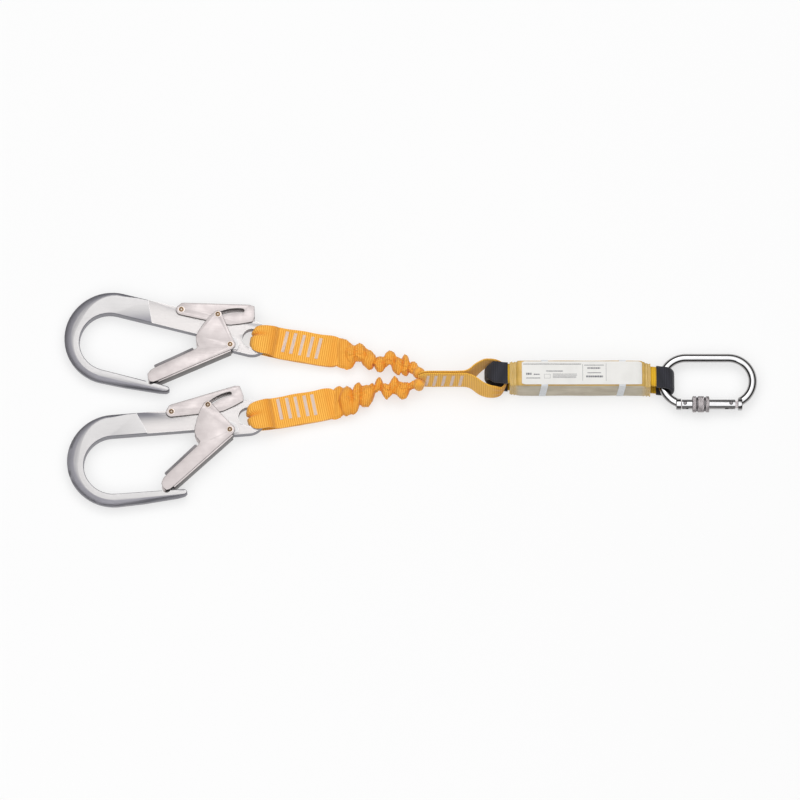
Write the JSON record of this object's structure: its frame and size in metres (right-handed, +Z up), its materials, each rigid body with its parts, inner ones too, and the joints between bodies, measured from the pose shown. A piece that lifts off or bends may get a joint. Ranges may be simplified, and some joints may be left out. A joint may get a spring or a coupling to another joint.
{
  "type": "shock absorbing lanyard",
  "caption": "Twin-leg elasticated fall arrest lanyard with large scaffold hooks, folded energy absorber pack and an oval screw-lock carabiner.",
  "frame": {"origin": "middle of the absorber pack's flat underside", "axes": "+X from the hooks towards the carabiner along the lanyard's length, +Y to the back leg's side, +Z up from the surface it lies on"},
  "size_m": [0.7628, 0.245, 0.033],
  "materials": {
    "gold_webbing": "woven golden-yellow polyester webbing",
    "black_sleeve": "woven black wear sleeve",
    "clear_film": "clear shrink film over golden webbing",
    "label_sheet": "white coated label",
    "clear_tape": "milky translucent tape",
    "polished_steel": "polished plated steel",
    "turned_steel": "turned and knurled plated steel",
    "spring_steel": "drawn spring wire",
    "orange_webbing": "woven orange-yellow polyester webbing with fine cross ribs",
    "elastic_core": "covered rubber cord",
    "forged_aluminium": "forged and tumbled aluminium with milled flats",
    "zinc_plated_steel": "satin zinc plated pressed steel",
    "rivet_brass": "domed rivet heads"
  },
  "bodies": {
    "absorber": {"tear_webbing": "gold_webbing", "left_loop_webbing": "gold_webbing", "right_loop_webbing": "gold_webbing", "left_loop_sleeve": "black_sleeve", "right_loop_sleeve": "black_sleeve", "clear_cover": "clear_film", "label": "label_sheet", "band_left": "clear_tape", "band_right": "clear_tape"},
    "carabiner": {"carabiner_body": "polished_steel", "carabiner_hinge_pin": "turned_steel"},
    "carabiner_gate_arm": {"carabiner_gate": "polished_steel", "carabiner_latch_pin": "turned_steel", "carabiner_spring": "spring_steel"},
    "screw_sleeve": {"carabiner_sleeve": "turned_steel"},
    "plunger": {"carabiner_plunger": "turned_steel"},
    "stem": {"eye_loop": "orange_webbing"},
    "leg_a": {"leg_a_gather": "orange_webbing", "leg_a_core": "elastic_core"},
    "leg_a_end": {"leg_a_end_loop": "orange_webbing"},
    "hook_a": {"hook_a_body": "forged_aluminium", "hook_a_gate_rivet": "rivet_brass", "hook_a_lever_rivet": "rivet_brass", "hook_a_gate_spring": "spring_steel", "hook_a_lever_spring": "spring_steel"},
    "gate_a": {"hook_a_gate": "zinc_plated_steel", "hook_a_lock_pin": "rivet_brass"},
    "lever_a": {"hook_a_lever": "zinc_plated_steel"},
    "leg_b": {"leg_b_gather": "orange_webbing", "leg_b_core": "elastic_core"},
    "leg_b_end": {"leg_b_end_loop": "orange_webbing"},
    "hook_b": {"hook_b_body": "forged_aluminium", "hook_b_gate_rivet": "rivet_brass", "hook_b_lever_rivet": "rivet_brass", "hook_b_gate_spring": "spring_steel", "hook_b_lever_spring": "spring_steel"},
    "gate_b": {"hook_b_gate": "zinc_plated_steel", "hook_b_lock_pin": "rivet_brass"},
    "lever_b": {"hook_b_lever": "zinc_plated_steel"}
  },
  "joints": [
    {"name": "carabiner_swing", "type": "hinge", "parent": "absorber", "child": "carabiner", "pos_m": [0.0923, -0.0008, 0.01145], "axis": [0, 1, 0], "range_deg": [-90, 90]},
    {"name": "carabiner_gate_open", "type": "hinge", "parent": "carabiner", "child": "carabiner_gate_arm", "pos_m": [0.166, -0.0274, 0.01145], "axis": [0, 0, -1], "range_deg": [0, 25]},
    {"name": "screw_sleeve_lock", "type": "slide", "parent": "carabiner_gate_arm", "child": "screw_sleeve", "axis": [1, 0, 0], "range_m": [-0.0135, 0.0008]},
    {"name": "plunger_press", "type": "slide", "parent": "carabiner_gate_arm", "child": "plunger", "axis": [-1, 0, 0], "range_m": [0, 0.0012]},
    {"name": "stem_swing", "type": "hinge", "parent": "absorber", "child": "stem", "pos_m": [-0.0808, 0.0055, 0.01145], "axis": [0, 1, 0], "range_deg": [-25, 25]},
    {"name": "leg_a_swing", "type": "hinge", "parent": "stem", "child": "leg_a", "pos_m": [-0.1775, 0.0074, 0.0155], "axis": [0, 0, -1], "range_deg": [0, 35]},
    {"name": "leg_a_stretch", "type": "slide", "parent": "leg_a", "child": "leg_a_end", "axis": [-0.9882, 0.153, 0], "range_m": [0, 0.08], "deforming": ["leg_a_gather", "leg_a_core"]},
    {"name": "hook_a_swing", "type": "hinge", "parent": "leg_a_end", "child": "hook_a", "pos_m": [-0.34665, 0.04431, 0.0096], "axis": [0.2487, 0.9686, 0], "range_deg": [-35, 35], "deforming": ["leg_a_end_loop"]},
    {"name": "gate_a_open", "type": "hinge", "parent": "hook_a", "child": "gate_a", "pos_m": [-0.385, 0.0397, 0.0096], "axis": [0, 0, -1], "range_deg": [0, 36]},
    {"name": "lever_a_press", "type": "hinge", "parent": "hook_a", "child": "lever_a", "pos_m": [-0.43907, 0.08043, 0.0096], "axis": [0, 0, -1], "range_deg": [0, 3.5]},
    {"name": "leg_b_swing", "type": "hinge", "parent": "stem", "child": "leg_b", "pos_m": [-0.1775, -0.0062, 0.0155], "axis": [0, 0, 1], "range_deg": [0, 35]},
    {"name": "leg_b_stretch", "type": "slide", "parent": "leg_b", "child": "leg_b_end", "axis": [-0.9799, -0.1994, 0], "range_m": [0, 0.08], "deforming": ["leg_b_gather", "leg_b_core"]},
    {"name": "hook_b_swing", "type": "hinge", "parent": "leg_b_end", "child": "hook_b", "pos_m": [-0.35004, -0.04136, 0.0096], "axis": [0.0802, -0.9968, 0], "range_deg": [-35, 35], "deforming": ["leg_b_end_loop"]},
    {"name": "gate_b_open", "type": "hinge", "parent": "hook_b", "child": "gate_b", "pos_m": [-0.3848, -0.0582, 0.0096], "axis": [0, 0, -1], "range_deg": [0, 36]},
    {"name": "lever_b_press", "type": "hinge", "parent": "hook_b", "child": "lever_b", "pos_m": [-0.44918, -0.0373, 0.0096], "axis": [0, 0, -1], "range_deg": [0, 3.5]}
  ],
  "couplings": [
    {"joint": "plunger_press", "follows": "carabiner_gate_open", "m_per_rad": 0.0023},
    {"joint": "lever_a_press", "follows": "gate_a_open", "ratio": 0.09},
    {"joint": "lever_b_press", "follows": "gate_b_open", "ratio": 0.09}
  ]
}
